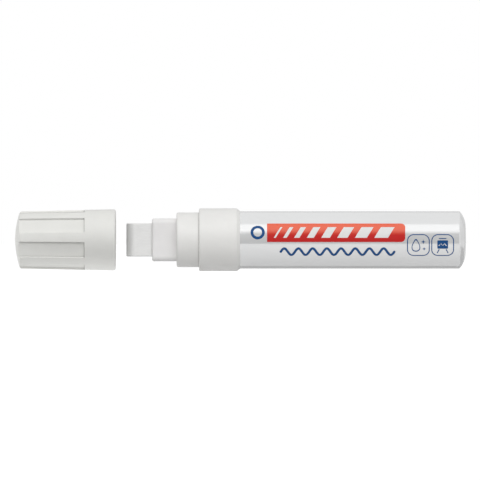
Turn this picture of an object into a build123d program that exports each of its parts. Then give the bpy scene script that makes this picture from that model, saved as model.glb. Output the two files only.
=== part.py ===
from build123d import *
import os
from math import cos, hypot, pi, radians, sin, tan

# Jumbo liquid chalk marker with a broad chisel nib, lying level with its cap taken off.
# Sizes are in millimetres. Stations run along the axis from the shoulder that the cap stops
# against, plus towards the rear of the barrel. A depth in the cap runs from its mouth towards
# its closed end. Each piece is made about the X axis, then moved to lie on Z = 0.

# Felt nib
nib_width = 15.0
nib_thickness = 6.0
nib_reach = 11.7
nib_slant = 1.6
nib_edge_round = 0.35
nib_travel = 2.5

# Flat sleeve that guides the nib
nib_clearance = 0.15
holder_side_wall = 2.0
holder_face_wall = 1.85
holder_corner = 2.3
holder_reach = 11.0
holder_front_round = 0.9
holder_flange_lip = 0.4
holder_flange_thickness = 2.0
holder_aperture_clearance = 0.05

# Front section with its neck, collar and spigot
fit_clearance = 0.05
front_wall = 1.6
neck_wall = 1.75
neck_length = 10.1
neck_round = 0.9
shoulder_wall = 2.0
collar_length = 18.45
collar_round = 0.8
collar_chamfer = 1.45
collar_rear_lip = 0.25
collar_flat_width = 4.2
skirt_wall = 1.45
spigot_wall = 1.0
spigot_length = 8.0
snap_height = 0.3
snap_width = 1.0
snap_setback = 6.0

# Barrel, which is the ink tank
gasket_thickness = 1.0
barrel_wall = 1.32
barrel_step = 0.25
barrel_reach = 101.55
barrel_end_wall = 1.8
barrel_end_rise = 2.8
barrel_end_flat_radius = 6.0
barrel_end_corner = 0.7
barrel_floor_round = 4.0

# Plate that carries the rear end of the nib
carrier_depth = 3.5
carrier_floor = 1.5
carrier_face_wall = 1.5
carrier_clearance = 0.25
feed_hole_radius = 1.2
feed_hole_offset = 4.5

# Valve
housing_fit = 0.03
housing_wall = 1.0
valve_travel_clearance = 0.5
seat_web = 2.0
port_radius = 3.2
stem_radius = 1.8
seal_overlap = 1.2
seal_thickness = 1.2
head_lip = 0.3
head_thickness = 1.3
pilot_length = 1.5
tail_radius = 1.4
tail_clearance = 0.1
tail_overrun = 0.6

# Valve spring and the cage round it
spring_wire = 0.7
spring_rest_length = 10.0
spring_turns = 6
spring_edge_margin = 0.45
spring_pilot_clearance = 0.3
spring_seat_clearance = 0.05
cage_flow_gap = 0.9
cage_wall = 0.9
cage_end_wall = 1.2
cage_socket_wall = 1.0
cage_socket_depth = 2.5
cage_window_count = 4
cage_window_width = 4.4
cage_window_margin = 1.5

# Loose ball in the ink
ball_radius = 3.5
ball_clearance = 0.2
ball_end_clearance = 0.3
ball_setback = 25.0

# Cap shell
cap_gap = 4.65
cap_length = 45.3
cap_wall = 1.2
cap_taper = 1.16
cap_slide_clearance = 0.06
cap_seat_clearance = 0.1
cap_rim_land = 0.15
cap_crown = 2.3
cap_crown_round = 0.9
cap_end_wall = 1.6
cap_floor_corner_wall = 1.2
cap_bead_height = 0.22
cap_bead_width = 1.0
cap_bead_depth = 2.4

# Finger recesses of the cap
grip_band = 13.95
grip_count = 7
grip_recess_angle = 32.0
grip_recess_depth = 0.85
grip_wall_slope = 75.0
grip_wall = 1.3
grip_land_elevation = 5.0

# Sealing cup inside the cap
liner_wall = 0.8
liner_clearance = 0.3
liner_nib_clearance = 0.4
liner_fit = 0.02
liner_rim_gap = 0.25
liner_holder_gap = 0.6
liner_tip_gap = 1.2
liner_end_wall = 0.9

# Sections of the nib and its sleeve
holder_width = nib_width + 2 * (nib_clearance + holder_side_wall)
holder_thickness = nib_thickness + 2 * (nib_clearance + holder_face_wall)
holder_half_diagonal = holder_corner + hypot(
    holder_width / 2 - holder_corner, holder_thickness / 2 - holder_corner
)
nib_half_diagonal = hypot(nib_width, nib_thickness) / 2

# Radii, worked outwards from the sleeve of the nib
flange_radius = holder_half_diagonal + holder_flange_lip
bore_radius = flange_radius + fit_clearance
neck_radius = bore_radius + neck_wall
spigot_radius = bore_radius + spigot_wall
barrel_bore_radius = spigot_radius + fit_clearance
barrel_radius = barrel_bore_radius + barrel_wall
barrel_mouth_radius = barrel_radius - barrel_step
skirt_radius = barrel_mouth_radius + fit_clearance
collar_radius = skirt_radius + skirt_wall
collar_flat_height = (collar_radius**2 - (collar_flat_width / 2) ** 2) ** 0.5
snap_radius = skirt_radius - snap_height
cap_bead_radius = neck_radius + cap_slide_clearance
cap_bore_radius = cap_bead_radius + cap_bead_height
cap_mouth_radius = cap_bore_radius + cap_wall

# Radii of the valve, worked outwards from the port and inwards from the bore
housing_radius = bore_radius - housing_fit
housing_inner_radius = housing_radius - housing_wall
carrier_radius = housing_inner_radius - carrier_clearance
seal_radius = port_radius + seal_overlap
head_radius = seal_radius + head_lip
spring_radius = head_radius - spring_edge_margin - spring_wire / 2
pilot_radius = spring_radius - spring_wire / 2 - spring_pilot_clearance
cage_inner_radius = head_radius + cage_flow_gap
cage_radius = cage_inner_radius + cage_wall
cage_socket_radius = cage_radius + housing_fit

# Radii of the sealing cup
liner_sleeve_inner = holder_half_diagonal + liner_clearance
liner_sleeve_radius = liner_sleeve_inner + liner_wall
liner_nib_inner = nib_half_diagonal + liner_nib_clearance
liner_nib_radius = liner_nib_inner + liner_wall
liner_seat_radius = liner_sleeve_radius + liner_fit

# Stations along the marker
neck_front = -neck_length
flange_front = neck_front + front_wall
flange_rear = flange_front + holder_flange_thickness
holder_front = neck_front - holder_reach
nib_tip = holder_front - nib_reach
nib_rear = flange_rear + carrier_depth
carrier_rear = nib_rear + carrier_floor
web_front = carrier_rear + nib_travel + valve_travel_clearance
web_rear = web_front + seat_web
head_front = web_rear + seal_thickness
head_rear = head_front + head_thickness
cage_floor = head_rear + spring_rest_length
cage_rear = cage_floor + cage_end_wall
tail_end = cage_rear + tail_overrun
ledge = shoulder_wall
spigot_end = ledge + spigot_length
barrel_front = ledge + gasket_thickness
snap_station = ledge + snap_setback
barrel_rear = collar_length + barrel_reach
barrel_corner = barrel_rear - barrel_end_rise
barrel_floor = barrel_rear - barrel_end_wall
ball_front_stop = tail_end + nib_travel + ball_radius + ball_end_clearance
ball_rear_stop = barrel_floor - max(barrel_floor_round, ball_radius + ball_end_clearance)
ball_station = ball_rear_stop - ball_setback

# Depths inside the cap, with the cap pushed home
cap_travel = nib_reach + holder_reach + neck_length + cap_gap - cap_seat_clearance
cap_mouth = nib_tip - cap_gap
liner_rim = neck_length - cap_seat_clearance + liner_rim_gap
holder_front_depth = neck_length - cap_seat_clearance + holder_reach
liner_step = holder_front_depth + liner_holder_gap
liner_floor = holder_front_depth + nib_reach + liner_tip_gap
liner_end = liner_floor + liner_end_wall
liner_ledge = liner_step + liner_end_wall
cap_corner_depth = cap_length - cap_crown

# Taper of the cap and of the floors of its recesses
taper_slope = tan(radians(cap_taper))
recess_half_angle = radians(grip_recess_angle / 2)
recess_floor_slope = taper_slope * cos(recess_half_angle)

# Place of the marker: it lies on the flat of its collar, with the middle of its length at X = 0
length_middle = (cap_mouth - cap_length + barrel_rear) / 2
axis_height = max(collar_flat_height, cap_mouth_radius)
to_rest = Pos(-length_middle, 0, axis_height)


def turned(outline):
    """Solid of revolution about the axis from a closed outline of stations and radii."""
    return revolve(make_face(outline), Axis.X)


def ring(front, rear, inner, outer):
    """Plain ring between two stations and two radii."""
    corners = [(front, inner), (front, outer), (rear, outer), (rear, inner)]
    return turned(Polyline(*corners, close=True))


def disc(front, rear, radius):
    """Plain disc between two stations."""
    return ring(front, rear, 0, radius)


def slab(front, rear, section):
    """Straight prism of a flat section, given with its width upright, between two stations."""
    return extrude(Plane.YZ.offset(front) * section, rear - front)


def circles_at(solid, station, radius):
    """Round edges of a solid at one station and of one radius."""
    return solid.edges().filter_by(GeomType.CIRCLE).filter_by(
        lambda edge: abs(edge.arc_center.X - station) < 1e-4 and abs(edge.radius - radius) < 1e-4
    )


def cap_radius(depth):
    """Outer radius of the tapered cap at a depth from its mouth."""
    return cap_mouth_radius - depth * taper_slope


def recess_floor(depth):
    """Distance from the axis to the flat floor of a finger recess at a depth from the mouth."""
    return cap_radius(depth) * cos(recess_half_angle) - grip_recess_depth


def cap_points(*corners):
    """Corners given by depth and radius, turned into stations of the cap as it lies."""
    return [(cap_mouth - depth, radius) for depth, radius in corners]


def make_cap_blank():
    """Tapered cap with a crowned end and stepped bores, before the recesses are cut."""
    bore = recess_floor(cap_corner_depth) - grip_wall
    apex = cap_length - cap_end_wall
    corner = cap_corner_depth - cap_floor_corner_wall
    crown_top, crown_edge, floor_top, floor_edge = cap_points(
        (cap_length, 0), (cap_corner_depth, cap_radius(cap_corner_depth)), (apex, 0), (corner, bore)
    )
    inside = cap_points(
        (liner_ledge, bore),
        (liner_ledge, liner_seat_radius),
        (liner_rim, liner_seat_radius),
        (liner_rim, cap_bore_radius),
        (0, cap_bore_radius),
        (0, cap_mouth_radius),
    )
    outline = TangentArc(crown_top, crown_edge, tangent=(0, 1))
    outline += Polyline(floor_edge, *inside, crown_edge)
    outline += TangentArc(floor_top, floor_edge, tangent=(0, 1))
    outline += Line(floor_top, crown_top)
    blank = turned(outline)
    rim_round = cap_wall - cap_rim_land
    blank = fillet(circles_at(blank, cap_mouth, cap_mouth_radius), rim_round)
    return fillet(circles_at(blank, crown_edge[0], crown_edge[1]), cap_crown_round)


def make_recess_cutter():
    """Straight trough with sloping sides that follows the taper from the band to the closed end."""
    floor_radius = recess_floor(grip_band)
    top = cap_mouth_radius + grip_recess_depth
    floor_half = cap_radius(grip_band) * sin(recess_half_angle) - grip_recess_depth / tan(
        radians(grip_wall_slope)
    )
    top_half = floor_half + (top - floor_radius) / tan(radians(grip_wall_slope))
    floor_side = [(-floor_half, floor_radius), (floor_half, floor_radius)]
    open_side = [(top_half, top), (-top_half, top)]
    section = make_face(Polyline(*floor_side, *open_side, close=True))
    run = cap_length - grip_band
    along = Vector(-1, 0, -recess_floor_slope)
    start = Plane.YZ.offset(cap_mouth - grip_band)
    return extrude(start * section, amount=run * along.length, dir=along)


def make_cap_shell():
    """Moulded cap with a ring of finger recesses and a bead in its mouth that grips the neck."""
    shell = make_cap_blank()
    cutter = make_recess_cutter()
    pitch = 360 / grip_count
    for index in range(grip_count):
        elevation = grip_land_elevation + pitch * (index + 0.5)
        shell -= Rot(X=90 - elevation) * cutter
    half = cap_bead_width / 2
    root = cap_bore_radius + cap_bead_height
    bead = cap_points(
        (cap_bead_depth - half, root),
        (cap_bead_depth - half, cap_bore_radius),
        (cap_bead_depth - half / 2, cap_bead_radius),
        (cap_bead_depth + half / 2, cap_bead_radius),
        (cap_bead_depth + half, cap_bore_radius),
        (cap_bead_depth + half, root),
    )
    return shell + turned(Polyline(*bead, close=True))


def make_cap_liner():
    """Stepped sealing cup: a wide sleeve for the holder and a narrow end for the felt."""
    corners = cap_points(
        (liner_rim, liner_sleeve_inner),
        (liner_rim, liner_sleeve_radius),
        (liner_ledge, liner_sleeve_radius),
        (liner_ledge, liner_nib_radius),
        (liner_end, liner_nib_radius),
        (liner_end, 0),
        (liner_floor, 0),
        (liner_floor, liner_nib_inner),
        (liner_step, liner_nib_inner),
        (liner_step, liner_sleeve_inner),
    )
    return turned(Polyline(*corners, close=True))


def make_nib():
    """Felt block with a slanted writing end, its long edge on the far side."""
    half = nib_thickness / 2
    near_side = [(nib_tip + nib_slant, -half), (nib_rear, -half)]
    far_side = [(nib_rear, half), (nib_tip, half)]
    side = make_face(Polyline(*near_side, *far_side, close=True))
    felt = extrude(side, amount=nib_width / 2, both=True)
    rear_edges = felt.faces().sort_by(Axis.X)[-1].edges()
    return fillet(felt.edges() - rear_edges, nib_edge_round)


def make_nib_holder():
    """Sleeve of rounded rectangular section with a round flange behind the front wall."""
    outside = RectangleRounded(holder_thickness, holder_width, holder_corner)
    sleeve = slab(holder_front, flange_rear, outside)
    front_edges = sleeve.faces().sort_by(Axis.X)[0].edges()
    sleeve = fillet(front_edges, holder_front_round)
    sleeve += disc(flange_front, flange_rear, flange_radius)
    opening = Rectangle(nib_thickness + 2 * nib_clearance, nib_width + 2 * nib_clearance)
    return sleeve - slab(holder_front, flange_rear, opening)


def make_nib_carrier():
    """Plate with two flats, a socket for the felt in front and feed holes through its floor."""
    outside = Circle(carrier_radius) & Rectangle(
        nib_thickness + 2 * carrier_face_wall, 2 * carrier_radius
    )
    plate = slab(flange_rear, carrier_rear, outside)
    plate -= slab(flange_rear, nib_rear, Rectangle(nib_thickness, nib_width))
    holes = Locations((0, feed_hole_offset), (0, -feed_hole_offset)).locations
    return plate - slab(nib_rear, carrier_rear, Sketch() + holes * Circle(feed_hole_radius))


def make_front_section():
    """Moulded nose: smooth neck, collar with a skirt and a flat to lie on, barrel spigot."""
    outline = Polyline(
        (neck_front, 0),
        (neck_front, neck_radius),
        (0, neck_radius),
        (0, collar_radius),
        (collar_length - collar_chamfer, collar_radius),
        (collar_length, skirt_radius + collar_rear_lip),
        (collar_length, skirt_radius),
        (ledge, skirt_radius),
        (ledge, spigot_radius),
        (spigot_end, spigot_radius),
        (spigot_end, bore_radius),
        (flange_front, bore_radius),
        (flange_front, 0),
        close=True,
    )
    nose = turned(outline)
    nose = fillet(circles_at(nose, neck_front, neck_radius), neck_round)
    nose = fillet(circles_at(nose, 0, collar_radius), collar_round)
    nose += ring(snap_station, snap_station + snap_width, snap_radius, skirt_radius + skirt_wall / 2)
    nose -= Pos(0, 0, -collar_flat_height) * Box(
        3 * collar_length, 2 * collar_flat_width, skirt_wall, align=(Align.CENTER, Align.CENTER, Align.MAX)
    )
    aperture = RectangleRounded(
        holder_thickness + 2 * holder_aperture_clearance,
        holder_width + 2 * holder_aperture_clearance,
        holder_corner + holder_aperture_clearance,
    )
    return nose - slab(neck_front, flange_front, aperture)


def make_barrel_gasket():
    """Soft ring between the ledge of the collar and the front rim of the barrel."""
    return ring(ledge, barrel_front, spigot_radius + fit_clearance, skirt_radius - fit_clearance)


def make_barrel():
    """Tube with a rounded closed end, a stepped mouth and a groove for the snap ring."""
    wall = Polyline(
        (barrel_rear, barrel_end_flat_radius),
        (barrel_rear, 0),
        (barrel_floor, 0),
        (barrel_floor, barrel_bore_radius),
        (barrel_front, barrel_bore_radius),
        (barrel_front, barrel_mouth_radius),
        (collar_length, barrel_mouth_radius),
        (collar_length, barrel_radius),
        (barrel_corner, barrel_radius),
    )
    shoulder = TangentArc(
        (barrel_rear, barrel_end_flat_radius), (barrel_corner, barrel_radius), tangent=(0, 1)
    )
    tube = turned(wall + shoulder)
    tube = fillet(circles_at(tube, barrel_corner, barrel_radius), barrel_end_corner)
    tube = fillet(circles_at(tube, barrel_floor, barrel_bore_radius), barrel_floor_round)
    groove = ring(
        snap_station - fit_clearance,
        snap_station + snap_width + fit_clearance,
        snap_radius - fit_clearance,
        collar_radius,
    )
    return tube - groove


def make_valve_housing():
    """Cup that holds the sleeve of the nib in place, with the valve port and the cage socket."""
    cup = ring(flange_rear, web_rear, housing_inner_radius, housing_radius)
    cup += ring(web_front, web_rear, port_radius, housing_radius)
    socket_outer = cage_socket_radius + cage_socket_wall
    return cup + ring(web_rear, web_rear + cage_socket_depth, cage_socket_radius, socket_outer)


def make_valve_stem():
    """Plunger: push rod, valve head, pilot for the spring and guided tail."""
    outline = Polyline(
        (carrier_rear, 0),
        (carrier_rear, stem_radius),
        (head_front, stem_radius),
        (head_front, head_radius),
        (head_rear, head_radius),
        (head_rear, pilot_radius),
        (head_rear + pilot_length, pilot_radius),
        (head_rear + pilot_length, tail_radius),
        (tail_end, tail_radius),
        (tail_end, 0),
        close=True,
    )
    return turned(outline)


def make_valve_seal():
    """Soft ring on the front of the valve head that closes on the web."""
    return ring(web_rear, head_front, stem_radius + housing_fit, seal_radius)


def make_spring_cage():
    """Cup with side windows that carries the spring and guides the tail of the stem."""
    cup = ring(web_rear, cage_rear, cage_inner_radius, cage_radius)
    cup += ring(cage_floor, cage_rear, tail_radius + tail_clearance, cage_radius)
    front = web_rear + cage_socket_depth + cage_window_margin
    rear = cage_floor - cage_window_margin
    opening = Rectangle(cage_window_width, 2 * cage_wall + cage_flow_gap)
    window = slab(front, rear, Pos(0, cage_radius) * opening)
    for index in range(cage_window_count):
        cup -= Rot(X=360 / cage_window_count * (index + 0.5)) * window
    return cup


def spring_point(turn):
    """Point on the helix of the spring after a number of turns."""
    first = head_rear + spring_seat_clearance + spring_wire / 2
    rise = spring_rest_length - 2 * spring_seat_clearance - spring_wire
    angle = 2 * pi * turn
    station = first + rise * turn / spring_turns
    return Vector(station, spring_radius * cos(angle), spring_radius * sin(angle))


def spring_tangent(turn):
    """Direction of the helix of the spring after a number of turns."""
    rise = spring_rest_length - 2 * spring_seat_clearance - spring_wire
    around = 2 * pi * spring_radius
    angle = 2 * pi * turn
    return Vector(rise / spring_turns, -around * sin(angle), around * cos(angle)).normalized()


def biarc(start, leaving, end, arriving):
    """Two tangent arcs from a start point and direction to an end point and direction."""
    chord = end - start
    both = leaving + arriving
    square = 2 * (leaving.dot(arriving) - 1)
    linear = -2 * chord.dot(both)
    reach = (-linear - (linear**2 - 4 * square * chord.dot(chord)) ** 0.5) / (2 * square)
    middle = (start + leaving * reach + end - arriving * reach) * 0.5
    first = TangentArc(start, middle, tangent=leaving)
    second = TangentArc(middle, end, tangent=-arriving, tangent_from_first=False)
    return [first.edge(), second.edge()]


def make_valve_spring():
    """Compression spring: one round wire swept along a helix of quarter-turn arc pairs."""
    quarters = 4 * spring_turns
    edges = []
    for index in range(quarters):
        here = index / 4
        after = (index + 1) / 4
        start, leaving = spring_point(here), spring_tangent(here)
        end, arriving = spring_point(after), spring_tangent(after)
        edges += biarc(start, leaving, end, arriving)
    section = Plane(origin=spring_point(0), z_dir=spring_tangent(0)) * Circle(spring_wire / 2)
    return sweep(section, path=Wire(edges))


def spring_least_gap():
    """Least gap between neighbouring turns of the spring, measured on points of the helix."""
    steps_per_turn = 48
    points = [spring_point(index / steps_per_turn) for index in range(steps_per_turn * spring_turns + 1)]
    apart = steps_per_turn // 2
    nearest = min(
        (points[i] - points[j]).length for i in range(len(points)) for j in range(i + apart, len(points))
    )
    return nearest - spring_wire


def make_mixing_ball():
    """Loose ball, just clear of the lowest line of the tank."""
    height = -(barrel_bore_radius - ball_radius - ball_clearance)
    return Pos(ball_station, 0, height) * Sphere(ball_radius)


pieces = {
    "cap_shell": make_cap_shell(),
    "cap_liner": make_cap_liner(),
    "nib": make_nib(),
    "nib_holder": make_nib_holder(),
    "nib_carrier": make_nib_carrier(),
    "front_section": make_front_section(),
    "barrel_gasket": make_barrel_gasket(),
    "barrel": make_barrel(),
    "valve_housing": make_valve_housing(),
    "valve_stem": make_valve_stem(),
    "valve_seal": make_valve_seal(),
    "valve_spring": make_valve_spring(),
    "spring_cage": make_spring_cage(),
    "mixing_ball": make_mixing_ball(),
}

os.makedirs("parts", exist_ok=True)
for name, piece in pieces.items():
    placed = to_rest * piece
    placed.label = name
    export_step(placed, f"parts/{name}.step")

print(f"least gap between turns of the spring: {spring_least_gap():.2f} mm")
print(f"travel of the cap from where it lies to its seat: {cap_travel:.2f} mm")
print(f"run of the ball: {ball_front_stop - ball_station:.2f} to {ball_rear_stop - ball_station:.2f} mm")
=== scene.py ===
import math

import bmesh
import bpy
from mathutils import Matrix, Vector, noise


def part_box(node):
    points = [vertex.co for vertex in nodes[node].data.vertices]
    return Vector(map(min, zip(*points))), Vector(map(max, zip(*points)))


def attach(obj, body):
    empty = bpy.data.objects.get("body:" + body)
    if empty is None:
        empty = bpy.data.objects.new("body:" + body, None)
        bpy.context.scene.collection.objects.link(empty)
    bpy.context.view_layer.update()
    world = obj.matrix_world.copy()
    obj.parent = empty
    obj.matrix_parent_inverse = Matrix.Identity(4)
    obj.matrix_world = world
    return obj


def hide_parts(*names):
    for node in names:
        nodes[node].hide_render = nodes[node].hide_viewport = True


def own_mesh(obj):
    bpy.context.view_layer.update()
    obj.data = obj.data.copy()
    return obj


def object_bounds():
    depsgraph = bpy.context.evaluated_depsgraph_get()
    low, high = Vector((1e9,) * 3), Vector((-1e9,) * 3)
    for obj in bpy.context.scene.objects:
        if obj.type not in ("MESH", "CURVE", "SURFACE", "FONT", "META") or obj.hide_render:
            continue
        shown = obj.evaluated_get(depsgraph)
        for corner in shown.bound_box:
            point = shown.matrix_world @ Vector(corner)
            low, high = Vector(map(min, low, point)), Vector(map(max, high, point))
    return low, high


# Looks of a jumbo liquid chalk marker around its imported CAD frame. Lengths are in metres in the
# frame's axes: X runs from the cap to the rear of the barrel, Z is up, the camera looks along +Y.

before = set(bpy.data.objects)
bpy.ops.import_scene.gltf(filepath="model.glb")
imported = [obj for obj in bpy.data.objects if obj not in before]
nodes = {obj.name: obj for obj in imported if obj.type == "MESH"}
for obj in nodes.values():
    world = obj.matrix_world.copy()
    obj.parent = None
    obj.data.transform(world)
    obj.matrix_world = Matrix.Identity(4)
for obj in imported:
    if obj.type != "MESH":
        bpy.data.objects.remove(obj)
cad_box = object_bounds()

MM = 0.001

# Places taken from the frame
barrel_low, barrel_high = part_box("barrel")
barrel_radius = (barrel_high.z - barrel_low.z) / 2
axis_height = (barrel_high.z + barrel_low.z) / 2
collar_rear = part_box("front_section")[1].x
cap_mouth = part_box("cap_shell")[1].x
nib_low, nib_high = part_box("nib")
spring_low, spring_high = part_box("valve_spring")

# Felt nib
nib_blunt_share = 0.5
nib_blunt_reach = 0.4 * MM
nib_bevel_reach = 3.1 * MM
nib_bevel_flat = 0.52
nib_corner = 0.45 * MM
nib_tip_round = 0.5 * MM
nib_tip_steps = 6
nib_face_rings = 10
nib_rear_rings = 4
felt_cell = 0.3 * MM
felt_nap = 0.03 * MM
felt_nap_sink = 0.6
felt_nap_fade = 2 * MM
felt_fibre_length = 2.2 * MM
felt_fibre_width = 0.35 * MM
felt_tuft_length = 3 * felt_fibre_length
felt_tuft_width = 4 * felt_fibre_width
felt_fibre_share = 0.65

# Valve spring
spring_wire = 0.7 * MM
spring_turns = 6
spring_closed_turns = 0.9
spring_closed_pitch = 1.06 * spring_wire
spring_sharp = math.radians(60)
wire_sides = 12
steps_per_turn = 40

# Print on the barrel: a place along the barrel counts from the rear of the collar, and a height
# is measured round the barrel from the line that faces the camera
ink_height = 0.03 * MM
ink_sink = 0.02 * MM
ink_step = 0.4 * MM
ink_cell = 0.3 * MM
ink_weld = 0.001 * MM
ink_cut = 0.0001 * MM
ink_sharp = math.radians(40)
band_start = 12.15 * MM
band_end = 74.2 * MM
band_low = -0.95 * MM
band_high = 7.8 * MM
band_middle = (band_low + band_high) / 2
band_corner = 1.9 * MM
# Painted highlight on the red strip: it pales from the lower height to the upper one
highlight_paint_low = 2.0 * MM
highlight_paint_high = 5.2 * MM
stroke_count = 8
stroke_start = 4.5 * MM
stroke_thinnest = 0.9 * MM
stroke_growth = 0.75 * MM
stroke_gap = 3.3 * MM
stroke_half_height = 2.5 * MM
stroke_lean = 1.5 * MM
dot_place = 7.95 * MM
dot_radius = 3.2 * MM
dot_line = 1.25 * MM
wave_start = 18.3 * MM
wave_end = 69.3 * MM
wave_height = -5.5 * MM
wave_size = 1.6 * MM
wave_length = 6.375 * MM
wave_line = 1.1 * MM
wave_steps = 240
icon_places = (80.1 * MM, 91.0 * MM)
icon_height = -2.5 * MM
icon_half = 5.1 * MM
icon_corner = 3.1 * MM
icon_line = 0.42 * MM

# Drop and sparks in a sign, placed from its middle. The drop's shape is in shares of its radius.
drop_place = -1.1 * MM
drop_height = -0.4 * MM
drop_radius = 2.3 * MM
drop_point = 1.5
drop_taper = 0.55
drop_belly = 0.9
drop_tip = 0.75
drop_shift = 0.2
spark_places = ((2.2 * MM, 1.6 * MM), (2.6 * MM, -1.6 * MM))
spark_radii = (1.1 * MM, 0.77 * MM)
spark_waist = 0.32 * MM

# Board on its stand in a sign, placed from its middle
board_height = 0.4 * MM
board_half_length = 2.4 * MM
board_half_height = 1.9 * MM
board_corner = 0.35 * MM
writing_corners = 5
writing_step = 0.8 * MM
writing_rise = 0.9 * MM
writing_line = 0.4 * MM
rail_gap = 0.8 * MM
rail_half = 1.5 * MM
leg_top = 1.6 * MM
leg_foot = 2.4 * MM
foot_height = -3.5 * MM

# Grain of the finishes: sizes of blotches, depths of relief, and how much tone and gloss change
plastic_cloud = 9 * MM
plastic_fleck = 0.5 * MM
plastic_smear = 5 * MM
plastic_pits = (0.16 * MM, 0.05 * MM)
plastic_relief = 0.012 * MM
plastic_edge = 0.25 * MM
# How far painted shade, with some dust, reaches into hollow corners
plastic_corner = 0.7 * MM
plastic_worn_tone = 1.03
# How dark that painted shade, with some dust, makes hollow corners
plastic_dust_and_shade_tone = 0.62
plastic_smear_change = 0.06
barrel_cloud = 14 * MM
barrel_smear = 6 * MM
barrel_peel = 1.4 * MM
barrel_relief = 0.0015 * MM
felt_strand = 0.22 * MM
felt_tuft = 1.6 * MM
felt_fuzz = 0.09 * MM
felt_relief = 0.02 * MM
rubber_bloom = 0.8 * MM
rubber_grain = 0.12 * MM
rubber_relief = 0.008 * MM
steel_stain = 1.2 * MM
steel_scratch = 0.06 * MM
steel_relief = 0.002 * MM
steel_stain_tone = 0.8
steel_scratch_change = 0.12
ink_patch = 4 * MM
ink_fleck = 0.3 * MM
ink_smear = 5 * MM
ink_ripple = 0.4 * MM
ink_relief = 0.0015 * MM

# Camera: a long lens that takes in as much as the photograph
photo_width = 480
photo_pixel = 0.45 * MM
frame_width = photo_width * photo_pixel
camera_lens = 900.0
camera_sensor = 36.0
camera_side = -0.16 * MM
camera_drop = 0.05 * MM

# Room and lamps
white = (1.0, 1.0, 1.0)
room_light = 0.5
room_look = 1.0
key_radiance = 0.8
key_size = (0.82, 0.33)
key_distance = 0.6
key_elevation = math.radians(49)
fill_radiance = 2.12
fill_size = (0.7, 0.4)
fill_distance = 0.7
fill_elevation = math.radians(26)

# Floor: what lights the object, and what the camera sees of it
floor_half_size = 30.0
floor_grey = 0.3
floor_lift = 0.22
floor_glow = 0.76
floor_shade = 0.62

# Cards that only the gloss shows: before, behind and under the barrel
flag_distance = 57 * MM
flag_top = 39.5 * MM
flag_grey = 0.15
flag_overlap = 7 * MM
back_distance = 57 * MM
back_overlap = 60 * MM
back_top = 75 * MM
back_grey = 0.76
# The card under the barrel is a painted shadow: the floor's shade there, as the gloss shows it
under_front = -3.6 * MM
under_back = 40 * MM
under_shadow_grey = 0.6

# Cards that only light matt surfaces: under and before the cap and nose, and past the cap
card_glow_cap = 0.76
card_glow_nose = 0.48
card_front = -17 * MM
card_back = 8 * MM
card_lift = 0.1 * MM
fore_front = -60 * MM
fore_glow_cap = 0.09
fore_glow_nose = 0.3
end_distance = 20 * MM
end_half = 20 * MM
end_top = 30 * MM
end_glow = 1.0


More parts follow.
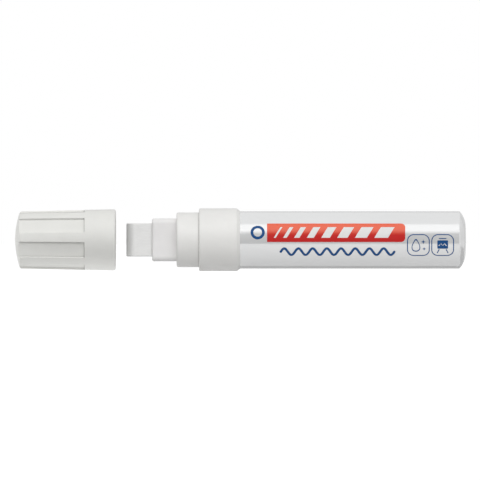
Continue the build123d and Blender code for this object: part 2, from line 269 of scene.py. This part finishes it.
class Finish:
    """A Principled material and short ways to hang texture nodes on it."""

    def __init__(self, name, colour, roughness, **constants):
        self.material = bpy.data.materials.new(name)
        self.material.use_nodes = True
        self.tree = self.material.node_tree
        self.shader = self.tree.nodes["Principled BSDF"]
        self.shader.inputs["Base Color"].default_value = (*colour, 1)
        self.shader.inputs["Roughness"].default_value = roughness
        for socket, value in constants.items():
            self.shader.inputs[socket.replace("_", " ")].default_value = value
        self.place = self.add("ShaderNodeTexCoord").outputs["Object"]

    def add(self, kind, **settings):
        """New node with its settings."""
        made = self.tree.nodes.new(kind)
        for key, value in settings.items():
            setattr(made, key, value)
        return made

    def fill(self, made, **inputs):
        """Sets a node's inputs: a socket is linked, and anything else is a constant."""
        for key, value in inputs.items():
            socket = made.inputs[key.replace("_", " ")]
            if isinstance(value, bpy.types.NodeSocket):
                self.tree.links.new(value, socket)
            else:
                socket.default_value = value
        return made

    def drive(self, socket, value):
        """Feeds one of the shader's inputs from a node."""
        self.tree.links.new(value, self.shader.inputs[socket])

    def blotches(self, size, detail=2.0, stretch=(1, 1, 1)):
        """Noise whose blotches are about size across, drawn out by stretch along each axis."""
        mapping = self.add("ShaderNodeMapping", vector_type="POINT")
        self.fill(mapping, Vector=self.place, Scale=tuple(1 / (size * s) for s in stretch))
        made = self.add("ShaderNodeTexNoise")
        self.fill(made, Vector=mapping.outputs["Vector"], Scale=1.0, Detail=detail)
        return made.outputs["Fac"]

    def between(self, value, low, high, start=0.3, end=0.7):
        """Value from start to end mapped to low to high, and held there outside."""
        made = self.add("ShaderNodeMapRange")
        self.fill(made, Value=value)
        limits = {"From Min": start, "From Max": end, "To Min": low, "To Max": high}
        for key, number in limits.items():
            made.inputs[key].default_value = number
        return made.outputs["Result"]

    def mixed(self, share, first, second):
        """Colour between two, each a socket or a plain colour."""
        made = self.add("ShaderNodeMix", data_type="RGBA")
        sockets = [s for s in made.inputs if s.type == "RGBA"]
        self.tree.links.new(share, made.inputs["Factor"])
        for socket, colour in zip(sockets, (first, second)):
            if isinstance(colour, bpy.types.NodeSocket):
                self.tree.links.new(colour, socket)
            else:
                socket.default_value = (*colour, 1)
        return next(s for s in made.outputs if s.type == "RGBA")

    def sum_of(self, *values):
        """Sum of several values, each a socket."""
        total = values[0]
        for value in values[1:]:
            made = self.add("ShaderNodeMath", operation="ADD")
            self.tree.links.new(total, made.inputs[0])
            self.tree.links.new(value, made.inputs[1])
            total = made.outputs["Value"]
        return total

    def soft_edges(self, radius):
        """Normal that rounds sharp edges, and a mask of where it does."""
        bevel = self.fill(self.add("ShaderNodeBevel", samples=6), Radius=radius)
        plain = self.add("ShaderNodeNewGeometry").outputs["Normal"]
        dot = self.add("ShaderNodeVectorMath", operation="DOT_PRODUCT")
        self.tree.links.new(bevel.outputs["Normal"], dot.inputs[0])
        self.tree.links.new(plain, dot.inputs[1])
        mask = self.between(dot.outputs["Value"], 1.0, 0.0, 0.86, 0.99)
        return bevel.outputs["Normal"], mask

    def corners(self, reach):
        """Mask of hollow corners, about reach wide, where shade is painted along with some dust."""
        made = self.add("ShaderNodeAmbientOcclusion", samples=8, only_local=True)
        self.fill(made, Distance=reach)
        return self.between(made.outputs["AO"], 1.0, 0.0, 0.5, 0.92)

    def relief(self, height, depth, normal=None):
        """Bump of a height map, depth metres from its lowest to its highest."""
        made = self.fill(self.add("ShaderNodeBump"), Height=height, Distance=depth, Strength=1.0)
        if normal is not None:
            self.tree.links.new(normal, made.inputs["Normal"])
        return made.outputs["Normal"]


def moulded_plastic(name, colour, shade, roughness):
    """Satin injection-moulded plastic: cloudy colour, spark-eroded grain, polished edges, and
    painted shade with some dust in hollow corners.
    """
    finish = Finish(name, colour, roughness, IOR=1.5)
    normal, edges = finish.soft_edges(plastic_edge)
    clouds = finish.between(finish.blotches(plastic_cloud, 3), 0, 1)
    flecks = finish.between(finish.blotches(plastic_fleck, 2), 0, 0.35)
    body = finish.mixed(finish.sum_of(clouds, flecks), colour, shade)
    worn = tuple(min(1, plastic_worn_tone * c) for c in colour)
    # Darker tone for hollow corners: painted shade, with some dust
    dust = tuple(plastic_dust_and_shade_tone * c for c in shade)
    body = finish.mixed(edges, body, worn)
    finish.drive("Base Color", finish.mixed(finish.corners(plastic_corner), body, dust))
    handled = finish.blotches(plastic_smear, 4)
    smooth, rough = roughness - plastic_smear_change, roughness + plastic_smear_change
    finish.drive("Roughness", finish.between(handled, smooth, rough))
    coarse, fine = plastic_pits
    pits = finish.sum_of(finish.blotches(coarse, 3), finish.blotches(fine, 1))
    finish.drive("Normal", finish.relief(pits, plastic_relief, normal))
    return finish.material


def barrel_plastic():
    """Glossy extruded tank: faint cloud, handling smears and a shallow orange peel."""
    colour, shade = (0.73, 0.737, 0.74), (0.705, 0.712, 0.715)
    finish = Finish("barrel_gloss", colour, 0.16, IOR=1.9, Coat_Weight=1.0, Coat_Roughness=0.05)
    finish.shader.inputs["Specular IOR Level"].default_value = 1.0
    clouds = finish.between(finish.blotches(barrel_cloud, 3, (3, 1, 1)), 0, 1)
    finish.drive("Base Color", finish.mixed(clouds, colour, shade))
    smears = finish.blotches(barrel_smear, 5, (2.5, 1, 1))
    finish.drive("Roughness", finish.between(smears, 0.12, 0.22, 0.35, 0.75))
    peel = finish.blotches(barrel_peel, 2, (1.6, 1, 1))
    finish.drive("Normal", finish.relief(peel, barrel_relief))
    return finish.material


def felt_material():
    """Bonded fibres along the nib: pale strands, darker gaps, a soft sheen."""
    colour, gap = (0.9, 0.9, 0.89), (0.85, 0.85, 0.84)
    finish = Finish("felt_fibre", colour, 0.95, Sheen_Weight=0.25, Sheen_Roughness=0.6)
    finish.shader.inputs["Specular IOR Level"].default_value = 0.1
    strands = finish.blotches(felt_strand, 4, (9, 1, 1))
    tufts = finish.blotches(felt_tuft, 3, (3, 1, 1))
    fibre = finish.mixed(finish.between(strands, 0, 1, 0.62, 0.36), colour, gap)
    soaked = finish.mixed(finish.between(tufts, 0, 0.5), fibre, (0.92, 0.92, 0.91))
    finish.drive("Base Color", soaked)
    fuzz = finish.sum_of(strands, finish.blotches(felt_fuzz, 2))
    finish.drive("Normal", finish.relief(fuzz, felt_relief))
    return finish.material


def rubber_material():
    """Soft black sealing rubber with a dusty bloom."""
    colour, bloom = (0.025, 0.025, 0.027), (0.06, 0.06, 0.062)
    finish = Finish("seal_rubber", colour, 0.7)
    dust = finish.blotches(rubber_bloom, 5)
    finish.drive("Base Color", finish.mixed(finish.between(dust, 0, 1, 0.45, 0.75), colour, bloom))
    finish.drive("Roughness", finish.between(dust, 0.6, 0.85))
    finish.drive("Normal", finish.relief(finish.blotches(rubber_grain, 2), rubber_relief))
    return finish.material


def steel_material(name, colour, roughness, scratches):
    """Drawn or polished steel with fine scratches."""
    finish = Finish(name, colour, roughness, Metallic=1.0)
    stain = finish.blotches(steel_stain, 4)
    darker = tuple(steel_stain_tone * c for c in colour)
    finish.drive("Base Color", finish.mixed(finish.between(stain, 0, 1, 0.4, 0.7), colour, darker))
    lines = finish.blotches(steel_scratch, 3, scratches)
    rough = roughness + steel_scratch_change
    finish.drive("Roughness", finish.between(lines, roughness, rough))
    finish.drive("Normal", finish.relief(lines, steel_relief))
    return finish.material


def ink_material(name, colour, thin, painted_highlight=None, varnish=0.0):
    """Screen-printed ink, thinner in places. It may carry a varnish, and a painted highlight that
    pales it towards the top of the strip.
    """
    finish = Finish(name, colour, 0.35, IOR=1.4, Coat_Weight=varnish, Coat_Roughness=0.06)
    finish.shader.inputs["Specular IOR Level"].default_value = 0.3
    cover = finish.sum_of(
        finish.between(finish.blotches(ink_patch, 4), 0, 0.6, 0.4, 0.75),
        finish.between(finish.blotches(ink_fleck, 2), 0, 0.4, 0.5, 0.7),
    )
    body = finish.mixed(cover, colour, thin)
    if painted_highlight is not None:
        height = finish.fill(finish.add("ShaderNodeSeparateXYZ"), Vector=finish.place).outputs["Z"]
        levels = [on_barrel(0, edge, 0).z for edge in (highlight_paint_low, highlight_paint_high)]
        body = finish.mixed(finish.between(height, 0, 1, *levels), body, painted_highlight)
    finish.drive("Base Color", body)
    finish.drive("Roughness", finish.between(finish.blotches(ink_smear, 4), 0.3, 0.42))
    finish.drive("Normal", finish.relief(finish.blotches(ink_ripple, 2), ink_relief))
    return finish.material


def dress(node_name, material):
    """Gives a CAD node its finish."""
    mesh = nodes[node_name].data
    mesh.materials.clear()
    mesh.materials.append(material)


def piece_from(name, shape, material, sharp_angle=None):
    """Object from a finished bmesh, smooth but for edges sharper than an angle."""
    mesh = bpy.data.meshes.new(name)
    shape.to_mesh(mesh)
    shape.free()
    mesh.shade_smooth()
    if sharp_angle is not None:
        mesh.set_sharp_from_angle(angle=sharp_angle)
    mesh.materials.append(material)
    made = bpy.data.objects.new(name, mesh)
    bpy.context.scene.collection.objects.link(made)
    return made


def skin(shape, rows):
    """Closed skin over rings of as many points, with a face on each end."""
    for near, far in zip(rows, rows[1:]):
        for index in range(len(near)):
            after = (index + 1) % len(near)
            shape.faces.new((near[index], near[after], far[after], far[index]))
    shape.faces.new(reversed(rows[0]))
    shape.faces.new(rows[-1])
    bmesh.ops.recalc_face_normals(shape, faces=shape.faces)


def rounded_outline(half_width, half_height, corner, cell, fullest=0.98):
    """Points of a rounded rectangle about the origin, evenly spaced, anticlockwise."""
    corner = min(corner, fullest * half_width, fullest * half_height)
    runs = [2 * (half_height - corner), 2 * (half_width - corner)]
    turn = math.pi / 2 * corner
    points = []
    for side in range(4):
        quarter = side * math.pi / 2
        toward = quarter + math.pi / 4
        right = math.copysign(half_width - corner, math.cos(toward))
        up = math.copysign(half_height - corner, math.sin(toward))
        centre = Vector((right, up))
        bends = max(3, round(turn / cell))
        for step in range(bends):
            angle = quarter + math.pi / 2 * step / bends
            points.append(centre + corner * Vector((math.cos(angle), math.sin(angle))))
        run = runs[(side + 1) % 2]
        leave = quarter + math.pi / 2
        start = centre + corner * Vector((math.cos(leave), math.sin(leave)))
        along = Vector((math.cos(leave + math.pi / 2), math.sin(leave + math.pi / 2)))
        steps = max(2, round(run / cell))
        for step in range(steps):
            points.append(start + along * (run * step / steps))
    return points


def fibre_height(point):
    """Nap of the felt at a point, from -1 to 1, drawn out along the nib."""
    sizes = ((felt_fibre_length, felt_fibre_width), (felt_tuft_length, felt_tuft_width))
    places = [Vector((point.x / along, point.y / wide, point.z / wide)) for along, wide in sizes]
    fibre, tuft = [noise.noise(place) for place in places]
    return felt_fibre_share * fibre + (1 - felt_fibre_share) * tuft


def tip_slant(near):
    """How far the nib's end lies back at a share of its thickness: blunt, then a bowed bevel."""
    blunt = min(near, nib_blunt_share) / nib_blunt_share
    bevel = max(0, near - nib_blunt_share) / (1 - nib_blunt_share)
    bow = 1 - math.sqrt(max(0, 1 - bevel**2))
    slope = nib_bevel_flat * bevel + (1 - nib_bevel_flat) * bow
    return nib_blunt_reach * blunt**2 + nib_bevel_reach * slope


def nib_rings(half_thick, length, free_end):
    """Rings of the nib from its end face to its rear: how far in and how far back each lies."""
    rings = [(ring / nib_face_rings * half_thick, 0) for ring in range(nib_face_rings - 1, 1, -1)]
    for step in range(nib_tip_steps + 1):
        angle = math.pi / 2 * step / nib_tip_steps
        inset = nib_tip_round * (1 - math.sin(angle))
        rings.append((inset, nib_tip_round * (1 - math.cos(angle))))
    side = free_end - nib_tip_round
    steps = round(side / felt_cell)
    rings += [(0, nib_tip_round + side * step / steps) for step in range(1, steps + 1)]
    rear = length - free_end
    rings += [(0, free_end + rear * ring / nib_rear_rings) for ring in range(1, nib_rear_rings + 1)]
    return rings


def make_nib():
    """Felt block with a bevelled end, built in rings from the end face to the rear."""
    middle = (nib_low + nib_high) / 2
    half_thick, half_wide = (nib_high.y - nib_low.y) / 2, (nib_high.z - nib_low.z) / 2
    length = nib_high.x - nib_low.x
    free_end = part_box("nib_holder")[0].x - nib_low.x
    outline = rounded_outline(half_thick, half_wide, nib_corner, felt_cell)
    shape = bmesh.new()
    rows = []
    for inset, depth in nib_rings(half_thick, length, free_end):
        free = min(1, max(0, (free_end - depth) / felt_nap_fade))
        forward = -1 if depth < nib_tip_round else 0
        row = []
        for flat in outline:
            y = flat.x * (half_thick - inset) / half_thick
            z = flat.y * (half_wide - inset) / half_wide
            near = (half_thick - y) / (2 * half_thick)
            slant = tip_slant(near) * (1 - depth / length)
            point = Vector((nib_low.x + slant + depth, middle.y + y, middle.z + z))
            outward = Vector((forward, flat.x / half_thick, flat.y / half_wide)).normalized()
            point += outward * (fibre_height(point) - felt_nap_sink) * felt_nap * free
            row.append(shape.verts.new(point))
        rows.append(row)
    skin(shape, rows)
    felt = piece_from("nib_felt", shape, felt_material())
    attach(felt, "nib_unit")
    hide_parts("nib")


def spring_station(turn):
    """Place along the spring after a number of turns: closed end turns, open ones between."""
    first = spring_low.x + spring_wire / 2
    rise = spring_high.x - spring_low.x - spring_wire
    closed_rise = spring_closed_pitch * spring_closed_turns
    if turn <= spring_closed_turns:
        return first + closed_rise * turn / spring_closed_turns
    if turn >= spring_turns - spring_closed_turns:
        return first + rise - closed_rise * (spring_turns - turn) / spring_closed_turns
    share = (turn - spring_closed_turns) / (spring_turns - 2 * spring_closed_turns)
    return first + closed_rise + (rise - 2 * closed_rise) * share


def make_spring():
    """Compression spring of round wire, built at rest; in the marker it shortens as the nib is
    pressed in.
    """
    radius = (spring_high.z - spring_low.z - spring_wire) / 2
    shape = bmesh.new()
    rows = []
    steps = steps_per_turn * spring_turns
    for step in range(steps + 1):
        turn = step / steps_per_turn
        angle = 2 * math.pi * turn
        out = Vector((0, math.cos(angle), math.sin(angle)))
        centre = Vector((spring_station(turn), 0, axis_height)) + radius * out
        row = []
        for side in range(wire_sides):
            around = 2 * math.pi * side / wire_sides
            offset = math.cos(around) * out + math.sin(around) * Vector((1, 0, 0))
            row.append(shape.verts.new(centre + spring_wire / 2 * offset))
        rows.append(row)
    skin(shape, rows)
    wire = steel_material("spring_wire", (0.56, 0.56, 0.57), 0.3, (1, 6, 6))
    spring = piece_from("spring_coil", shape, wire, spring_sharp)
    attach(spring, "marker")
    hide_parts("valve_spring")
    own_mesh(spring)


def on_barrel(place, height, lift):
    """Point on the barrel: place along it from the collar, height round it, lift off it."""
    angle = height / barrel_radius
    radius = barrel_radius + lift
    depth, up = -radius * math.cos(angle), radius * math.sin(angle)
    return Vector((collar_rear + place, depth, axis_height + up))


def rounded_loop(place, height, half_length, half_height, corner):
    """Closed loop of a rounded rectangle on the unrolled barrel."""
    outline = rounded_outline(half_length, half_height, corner, ink_cell)
    return [(place + point.x, height + point.y) for point in outline]


def circle_loop(place, height, radius, count=64):
    """Closed loop of a circle on the unrolled barrel."""
    angles = [2 * math.pi * index / count for index in range(count)]
    return [(place + radius * math.cos(a), height + radius * math.sin(a)) for a in angles]


def stroke_loop(path, width, cap_steps=8):
    """Closed loop round a line of even width with round ends."""
    points = [Vector(p) for p in path]
    ways = [(b - a).normalized() for a, b in zip(points, points[1:])]
    ways.append(ways[-1])
    left, right = [], []
    for point, way in zip(points, ways):
        side = Vector((-way.y, way.x)) * width / 2
        left.append(point + side)
        right.append(point - side)
    caps = []
    for centre, way in ((points[-1], ways[-1]), (points[0], -ways[0])):
        start = math.atan2(way.y, way.x) + math.pi / 2
        angles = [start - math.pi * step / cap_steps for step in range(1, cap_steps)]
        caps.append([centre + width / 2 * Vector((math.cos(a), math.sin(a))) for a in angles])
    return [tuple(p) for p in left + caps[0] + right[::-1] + caps[1]]


def drop_loop(place, height, radius, count=48):
    """Closed loop of a drop of water, its point upwards."""
    loop = []
    for index in range(count):
        angle = 2 * math.pi * index / count
        narrow = ((1 + math.cos(angle)) / 2) ** drop_point
        across = radius * math.sin(angle) * (1 - drop_taper * narrow)
        up = radius * (drop_belly * math.cos(angle) + drop_tip * narrow - drop_shift)
        loop.append((place + across, height + up))
    return loop


def star_loop(place, height, radius, waist, points=4):
    """Closed loop of a pointed star."""
    loop = []
    for index in range(2 * points):
        angle = math.pi / points * index
        reach = waist if index % 2 else radius
        loop.append((place + reach * math.cos(angle), height + reach * math.sin(angle)))
    return loop


def strip_loop(start, end, low, high, corner, corner_steps=10):
    """Closed loop of a strip, square at its start and with rounded corners at its end."""
    loop = [(start, high), (start, low)]
    for middle, first in ((low + corner, -math.pi / 2), (high - corner, 0)):
        for step in range(corner_steps + 1):
            angle = first + math.pi / 2 * step / corner_steps
            along = end - corner + corner * math.cos(angle)
            loop.append((along, middle + corner * math.sin(angle)))
    return loop


def filled(loops):
    """Flat mesh of closed loops, where a loop inside another is a hole."""
    curve = bpy.data.curves.new("print_outline", "CURVE")
    curve.dimensions = "2D"
    curve.fill_mode = "BOTH"
    for loop in loops:
        spline = curve.splines.new("POLY")
        spline.points.add(len(loop) - 1)
        for point, (place, height) in zip(spline.points, loop):
            point.co = (place, height, 0, 1)
        spline.use_cyclic_u = True
    holder = bpy.data.objects.new("print_outline", curve)
    flat = bpy.data.meshes.new_from_object(holder)
    bpy.data.objects.remove(holder)
    bpy.data.curves.remove(curve)
    return flat


def cut_in_rows(shape, low, high):
    """Cuts a flat mesh along level lines, so that it can bend round the barrel."""
    rows = round((high - low) / ink_step)
    for row in range(1, rows):
        level = low + (high - low) * row / rows
        everything = list(shape.verts) + list(shape.edges) + list(shape.faces)
        bmesh.ops.bisect_plane(
            shape, geom=everything, dist=ink_cut, plane_co=(0, level, 0), plane_no=(0, 1, 0)
        )


def print_on_barrel(name, loops, material):
    """Thin closed layer of ink that follows the barrel."""
    shape = bmesh.new()
    shape.from_mesh(filled(loops))
    bmesh.ops.remove_doubles(shape, verts=shape.verts, dist=ink_weld)
    heights = [height for loop in loops for _, height in loop]
    cut_in_rows(shape, min(heights), max(heights))
    upper, faces = list(shape.verts), list(shape.faces)
    borders = [edge.link_loops[0] for edge in shape.edges if edge.is_boundary]
    rim = [(loop.vert, loop.link_loop_next.vert) for loop in borders]
    lower = {vert: shape.verts.new(on_barrel(vert.co.x, vert.co.y, -ink_sink)) for vert in upper}
    for face in faces:
        shape.faces.new([lower[vert] for vert in reversed(face.verts)])
    for here, after in rim:
        shape.faces.new((after, here, lower[here], lower[after]))
    for vert in upper:
        vert.co = on_barrel(vert.co.x, vert.co.y, ink_height)
    bmesh.ops.recalc_face_normals(shape, faces=shape.faces)
    layer = piece_from(name, shape, material, ink_sharp)
    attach(layer, "marker")


def make_band(red, pale):
    """Red strip with slanted strokes in white that grow towards its end."""
    strokes = []
    place = band_start + stroke_start
    top, foot = band_middle + stroke_half_height, band_middle - stroke_half_height
    for index in range(stroke_count):
        width = stroke_thinnest + stroke_growth * index
        lower = [(-stroke_lean, foot), (width - stroke_lean, foot)]
        upper = [(width + stroke_lean, top), (stroke_lean, top)]
        strokes.append([(place + along, height) for along, height in lower + upper])
        place += width + stroke_gap
    outer = strip_loop(band_start, band_end, band_low, band_high, band_corner)
    print_on_barrel("print_band", [outer, *strokes], red)
    print_on_barrel("print_strokes", strokes, pale)


def make_ring(blue):
    """Ring beside the strip."""
    radii = (dot_radius, dot_radius - dot_line)
    ring = [circle_loop(dot_place, band_middle, radius) for radius in radii]
    print_on_barrel("print_ring", ring, blue)


def make_wave(blue):
    """Wavy line under the strip."""
    wave = []
    for step in range(wave_steps + 1):
        along = (wave_end - wave_start) * step / wave_steps
        swing = wave_size * math.sin(2 * math.pi * along / wave_length)
        wave.append((wave_start + along, wave_height + swing))
    print_on_barrel("print_wave", [stroke_loop(wave, wave_line)], blue)


def make_sign_frame(name, place, blue):
    """Rounded frame of a sign."""
    edges = []
    for half in (icon_half, icon_half - icon_line):
        corner = icon_corner - icon_half + half
        edges.append(rounded_loop(place, icon_height, half, half, corner))
    print_on_barrel(name + "_frame", edges, blue)


def make_water_sign(name, place, blue):
    """Sign of a drop of water and two sparks, for ink that wipes off wet."""
    make_sign_frame(name, place, blue)
    loops = []
    for radius in (drop_radius, drop_radius - icon_line):
        loops.append(drop_loop(place + drop_place, icon_height + drop_height, radius))
    for (along, up), radius in zip(spark_places, spark_radii):
        loops.append(star_loop(place + along, icon_height + up, radius, spark_waist))
    print_on_barrel(name, loops, blue)


def make_board_sign(name, place, blue):
    """Sign of a written board on its stand."""
    make_sign_frame(name, place, blue)
    middle = icon_height + board_height
    board = rounded_loop(place, middle, board_half_length, board_half_height, board_corner)
    writing = []
    for index in range(writing_corners):
        along = writing_step * (index - (writing_corners - 1) / 2)
        writing.append((place + along, middle + writing_rise * (index % 2 - 0.5)))
    foot = icon_height + foot_height
    shelf = middle - board_half_height - icon_line
    rail = middle + board_half_height + rail_gap
    lines = [((-rail_half, rail), (rail_half, rail))]
    lines += [((side * leg_top, shelf), (side * leg_foot, foot)) for side in (-1, 1)]
    loops = [board, stroke_loop(writing, writing_line)]
    for line in lines:
        path = [(place + along, height) for along, height in line]
        loops.append(stroke_loop(path, icon_line))
    print_on_barrel(name, loops, blue)


def make_print():
    """Plain decoration: a red strip of growing strokes, a ring, a wave and two signs of use."""
    # The red ink's third colour is a painted highlight towards the top of the strip
    red = ink_material(
        "ink_red", (0.585, 0.014, 0.013), (0.565, 0.018, 0.016), (0.81, 0.09, 0.022), varnish=1.0
    )
    blue = ink_material("ink_blue", (0.012, 0.075, 0.23), (0.02, 0.085, 0.24))
    pale = ink_material("ink_white", (0.82, 0.82, 0.81), (0.76, 0.74, 0.73))
    make_band(red, pale)
    make_ring(blue)
    make_wave(blue)
    make_water_sign("print_sign_water", icon_places[0], blue)
    make_board_sign("print_sign_board", icon_places[1], blue)


def dress_nodes():
    """Finishes of the CAD pieces that keep their own shape."""
    cap = moulded_plastic("cap_satin", (0.84, 0.84, 0.81), (0.805, 0.805, 0.775), 0.42)
    nose = moulded_plastic("nose_satin", (0.875, 0.87, 0.85), (0.84, 0.835, 0.815), 0.4)
    holder = moulded_plastic("holder_satin", (0.88, 0.87, 0.865), (0.845, 0.835, 0.83), 0.45)
    liner = moulded_plastic("liner_satin", (0.78, 0.785, 0.78), (0.74, 0.745, 0.74), 0.38)
    inner = moulded_plastic("valve_satin", (0.50, 0.53, 0.56), (0.46, 0.49, 0.52), 0.4)
    rubber = rubber_material()
    ball = steel_material("ball_polished", (0.66, 0.66, 0.67), 0.08, (1, 1, 1))
    dress("cap_shell", cap)
    dress("cap_liner", liner)
    dress("front_section", nose)
    dress("nib_holder", holder)
    dress("barrel", barrel_plastic())
    for name in ("nib_carrier", "valve_housing", "valve_stem", "spring_cage"):
        dress(name, inner)
    for name in ("barrel_gasket", "valve_seal"):
        dress(name, rubber)
    dress("mixing_ball", ball)


def seen_directly(tree):
    """1 for rays from the camera and for rays by way of gloss or glass, 0 for the rest."""
    path = tree.nodes.new("ShaderNodeLightPath")
    seen = path.outputs["Is Camera Ray"]
    for name in ("Is Glossy Ray", "Is Transmission Ray"):
        either = tree.nodes.new("ShaderNodeMath")
        either.operation = "MAXIMUM"
        tree.links.new(seen, either.inputs[0])
        tree.links.new(path.outputs[name], either.inputs[1])
        seen = either.outputs["Value"]
    return seen


def make_room():
    """World: white to look at, a plain grey level to light by."""
    world = bpy.data.worlds.new("studio")
    bpy.context.scene.world = world
    world.use_nodes = True
    tree = world.node_tree
    tree.nodes.clear()
    mix = tree.nodes.new("ShaderNodeMixShader")
    out = tree.nodes.new("ShaderNodeOutputWorld")
    tree.links.new(seen_directly(tree), mix.inputs["Fac"])
    for place, strength in ((1, room_light), (2, room_look)):
        plain = tree.nodes.new("ShaderNodeBackground")
        plain.inputs["Color"].default_value = (*white, 1)
        plain.inputs["Strength"].default_value = strength
        tree.links.new(plain.outputs["Background"], mix.inputs[place])
    tree.links.new(mix.outputs["Shader"], out.inputs["Surface"])


def flat_sheet(name, corners, material):
    """Four-cornered sheet that belongs to the stage."""
    mesh = bpy.data.meshes.new(name)
    mesh.from_pydata(corners, [], [(0, 1, 2, 3)])
    mesh.materials.append(material)
    sheet = bpy.data.objects.new(name, mesh)
    bpy.context.scene.collection.objects.link(sheet)
    return sheet


def make_floor():
    """Pale floor, lit a little from below, that looks white and keeps a light shadow."""
    material = bpy.data.materials.new("floor_white")
    material.use_nodes = True
    tree = material.node_tree
    tree.nodes.clear()
    mix = tree.nodes.new("ShaderNodeMixShader")
    out = tree.nodes.new("ShaderNodeOutputMaterial")
    tree.links.new(seen_directly(tree), mix.inputs["Fac"])
    for place, grey, strength in ((1, floor_grey, floor_lift), (2, floor_shade, floor_glow)):
        matt = tree.nodes.new("ShaderNodeBsdfDiffuse")
        matt.inputs["Color"].default_value = (grey, grey, grey, 1)
        glow = tree.nodes.new("ShaderNodeEmission")
        glow.inputs["Strength"].default_value = strength
        both = tree.nodes.new("ShaderNodeAddShader")
        tree.links.new(glow.outputs["Emission"], both.inputs[0])
        tree.links.new(matt.outputs["BSDF"], both.inputs[1])
        tree.links.new(both.outputs["Shader"], mix.inputs[place])
    tree.links.new(mix.outputs["Shader"], out.inputs["Surface"])
    far = floor_half_size
    flat_sheet("floor", [(-far, -far, 0), (far, -far, 0), (far, far, 0), (-far, far, 0)], material)


def studio_card(name, corners, glow, seen_by):
    """Evenly bright card, clear from behind, that only diffuse or only glossy rays see."""
    material = bpy.data.materials.new(name)
    material.use_nodes = True
    tree = material.node_tree
    tree.nodes.clear()
    even = tree.nodes.new("ShaderNodeEmission")
    even.inputs["Strength"].default_value = glow
    clear = tree.nodes.new("ShaderNodeBsdfTransparent")
    side = tree.nodes.new("ShaderNodeNewGeometry")
    mix = tree.nodes.new("ShaderNodeMixShader")
    out = tree.nodes.new("ShaderNodeOutputMaterial")
    tree.links.new(side.outputs["Backfacing"], mix.inputs["Fac"])
    tree.links.new(even.outputs["Emission"], mix.inputs[1])
    tree.links.new(clear.outputs["BSDF"], mix.inputs[2])
    tree.links.new(mix.outputs["Shader"], out.inputs["Surface"])
    card = flat_sheet(name, corners, material)
    for ray in ("camera", "diffuse", "glossy", "transmission", "shadow"):
        setattr(card, "visible_" + ray, ray == seen_by)


def upright(start, end, depth, top):
    """Corners of a card that stands on the floor and faces right of the way from start to end."""
    return [(start, depth, 0), (end, depth, 0), (end, depth, top), (start, depth, top)]


def lying(left, right, front, back):
    """Corners of a card that lies on the floor."""
    flat = ((left, front), (right, front), (right, back), (left, back))
    return [(x, y, card_lift) for x, y in flat]


def make_gloss_cards():
    """Grey cards that only the gloss shows: before, behind and under the barrel."""
    left, right = collar_rear - flag_overlap, barrel_high.x + flag_overlap
    before = upright(right, left, -flag_distance, flag_top)
    studio_card("flag_front", before, flag_grey, "glossy")
    left, right = cad_box[0][0] - back_overlap, cad_box[1][0] + back_overlap
    behind = upright(left, right, back_distance, back_top)
    studio_card("flag_back", behind, back_grey, "glossy")
    # Under the barrel: a painted shadow, the floor's shade seen only in the gloss
    under = lying(collar_rear, right, under_front, under_back)
    studio_card("flag_under", under, under_shadow_grey, "glossy")


def make_matt_cards():
    """Cards that only light matt surfaces: under and before the cap and nose, and past the cap."""
    middle = (cap_mouth + nib_low.x) / 2
    spans = (
        ("cap", cad_box[0][0], middle, card_glow_cap, fore_glow_cap),
        ("nose", middle, collar_rear, card_glow_nose, fore_glow_nose),
    )
    for name, left, right, card_glow, fore_glow in spans:
        under = lying(left, right, card_front, card_back)
        studio_card("card_" + name, under, card_glow, "diffuse")
        before = lying(left, right, fore_front, card_front)
        studio_card("fore_" + name, before, fore_glow, "diffuse")
    place = cad_box[0][0] - end_distance
    flat = ((-end_half, 0), (end_half, 0), (end_half, end_top), (-end_half, end_top))
    studio_card("card_end", [(place, y, z) for y, z in flat], end_glow, "diffuse")


def softbox(name, elevation, distance, size, radiance, mirrored=True):
    """Soft rectangular lamp across the object, at an elevation seen from its axis."""
    lamp = bpy.data.lights.new(name, "AREA")
    lamp.shape = "RECTANGLE"
    lamp.size, lamp.size_y = size
    lamp.energy = radiance * math.pi * size[0] * size[1]
    made = bpy.data.objects.new(name, lamp)
    bpy.context.scene.collection.objects.link(made)
    away = Vector((0, -math.cos(elevation), math.sin(elevation)))
    made.location = Vector((0, 0, axis_height)) + distance * away
    made.rotation_euler = (math.pi / 2 - elevation, 0, 0)
    made.visible_camera = False
    made.visible_glossy = mirrored


def make_camera():
    """Long lens level with the axis, square to the side of the marker."""
    lens = bpy.data.cameras.new("camera")
    lens.lens = camera_lens
    lens.sensor_width = camera_sensor
    camera = bpy.data.objects.new("camera", lens)
    bpy.context.scene.collection.objects.link(camera)
    distance = frame_width * camera_lens / camera_sensor
    camera.location = (camera_side, -distance, axis_height - camera_drop)
    camera.rotation_euler = (math.pi / 2, 0, 0)
    bpy.context.scene.camera = camera


make_camera()
dress_nodes()
make_nib()
make_spring()
make_print()
make_room()
make_floor()
make_gloss_cards()
make_matt_cards()
softbox("key", key_elevation, key_distance, key_size, key_radiance)
softbox("fill", fill_elevation, fill_distance, fill_size, fill_radiance, mirrored=False)
bpy.context.scene.view_settings.view_transform = "Standard"
